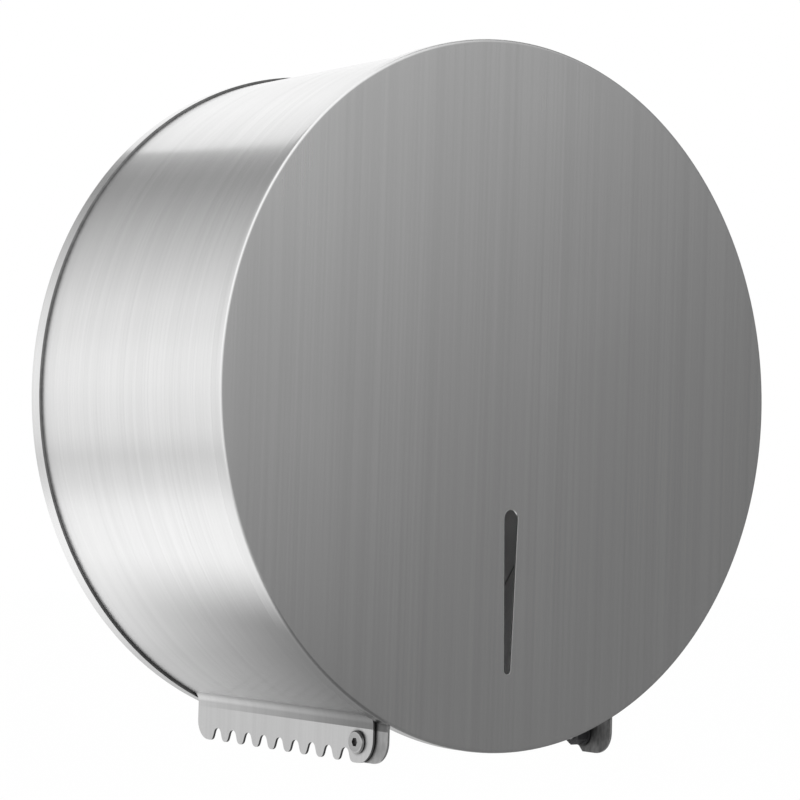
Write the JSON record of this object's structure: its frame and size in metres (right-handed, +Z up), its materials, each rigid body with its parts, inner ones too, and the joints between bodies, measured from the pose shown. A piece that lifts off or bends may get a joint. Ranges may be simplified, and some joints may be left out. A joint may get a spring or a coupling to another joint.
{
  "type": "jumbo toilet roll dispenser",
  "caption": "Round wall dispenser for a jumbo toilet roll: brushed steel drum, hinged cover with a tapered viewing slot, toothed tear edge below, key lock, core hub with brake.",
  "frame": {"origin": "centre of the wall screws' rectangle on the back face, on the drum's axis", "axes": "+Z up, -Y out of the wall to the front cover, +X right as seen from the front"},
  "size_m": [0.27, 0.13, 0.2744],
  "materials": {
    "cover_steel": "satin stainless steel, brushed up and down",
    "drum_steel": "satin stainless steel, brushed around the drum",
    "plate_steel": "satin stainless sheet",
    "turned_steel": "bright turned stainless steel",
    "lock_chrome": "polished chrome plate",
    "black_nylon": "black nylon",
    "rubber": "black rubber",
    "hub_plastic": "grey moulded plastic"
  },
  "bodies": {
    "base": {"back_plate": "plate_steel", "drum_wall": "drum_steel", "spindle_foot": "turned_steel", "spindle_rivets": "turned_steel", "spindle_axle": "turned_steel", "brake_washer": "black_nylon", "spring_washer": "turned_steel", "end_washer": "turned_steel", "end_screw": "turned_steel", "lock_gasket": "rubber", "lock_barrel": "lock_chrome", "lock_backing_washer": "plate_steel", "lock_nut": "lock_chrome", "hinge_screws": "turned_steel", "hinge_bushes": "black_nylon", "hinge_washers": "black_nylon", "hinge_nuts": "black_nylon"},
    "cover": {"cover_panel": "cover_steel", "hinge_ear_left": "plate_steel", "hinge_ear_right": "plate_steel", "lock_strike": "plate_steel", "strike_pin": "turned_steel", "cover_pads": "rubber"},
    "hub": {"roll_hub": "hub_plastic", "hub_core": "hub_plastic", "hub_bushes": "black_nylon", "hub_cap": "hub_plastic"},
    "lock": {"lock_plug": "lock_chrome", "lock_cam": "plate_steel", "cam_screw": "turned_steel"}
  },
  "joints": [
    {"name": "cover_hinge", "type": "hinge", "parent": "base", "child": "cover", "pos_m": [0, -0.113, -0.13033], "axis": [1, 0, 0], "range_deg": [0, 165]},
    {"name": "hub_spin", "type": "hinge", "parent": "base", "child": "hub", "pos_m": [0, -0.063, 0], "axis": [0, -1, 0], "continuous": true},
    {"name": "lock_turn", "type": "hinge", "parent": "base", "child": "lock", "pos_m": [0, -0.108, 0.13], "axis": [0, 0, 1], "range_deg": [0, 90]}
  ]
}
